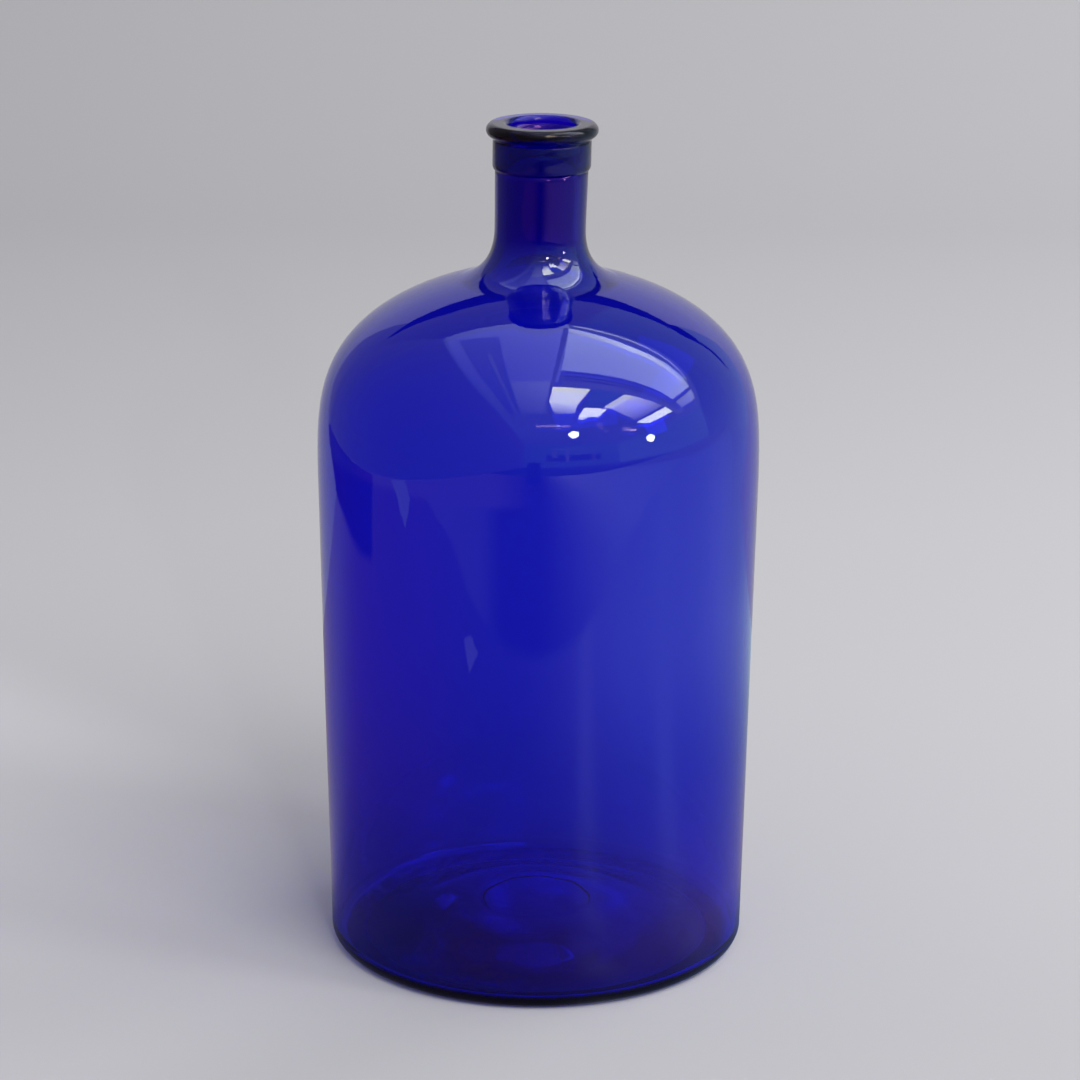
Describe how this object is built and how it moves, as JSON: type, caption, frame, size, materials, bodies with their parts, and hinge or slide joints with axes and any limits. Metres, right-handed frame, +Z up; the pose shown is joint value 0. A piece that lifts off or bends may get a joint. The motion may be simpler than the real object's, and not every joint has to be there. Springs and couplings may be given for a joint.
{
  "type": "antique glass bottle",
  "caption": "Tall round mouth-blown bottle in cobalt glass with a domed shoulder, short neck, tooled collar and lip, open mouth and pushed-up base.",
  "frame": {"origin": "centre of the foot, on the surface that the bottle stands on", "axes": "+Z up along the bottle's axis, out of the mouth; the bottle is round, so +X and +Y are free"},
  "size_m": [0.2084, 0.2084, 0.4],
  "materials": {
    "cobalt_glass": "glossy",
    "dark_cobalt_glass": "glossy"
  },
  "bodies": {
    "root": {"vessel": "cobalt_glass", "collar_band": "dark_cobalt_glass", "lip_ring": "dark_cobalt_glass", "pontil_scar": "cobalt_glass"}
  },
  "joints": []
}
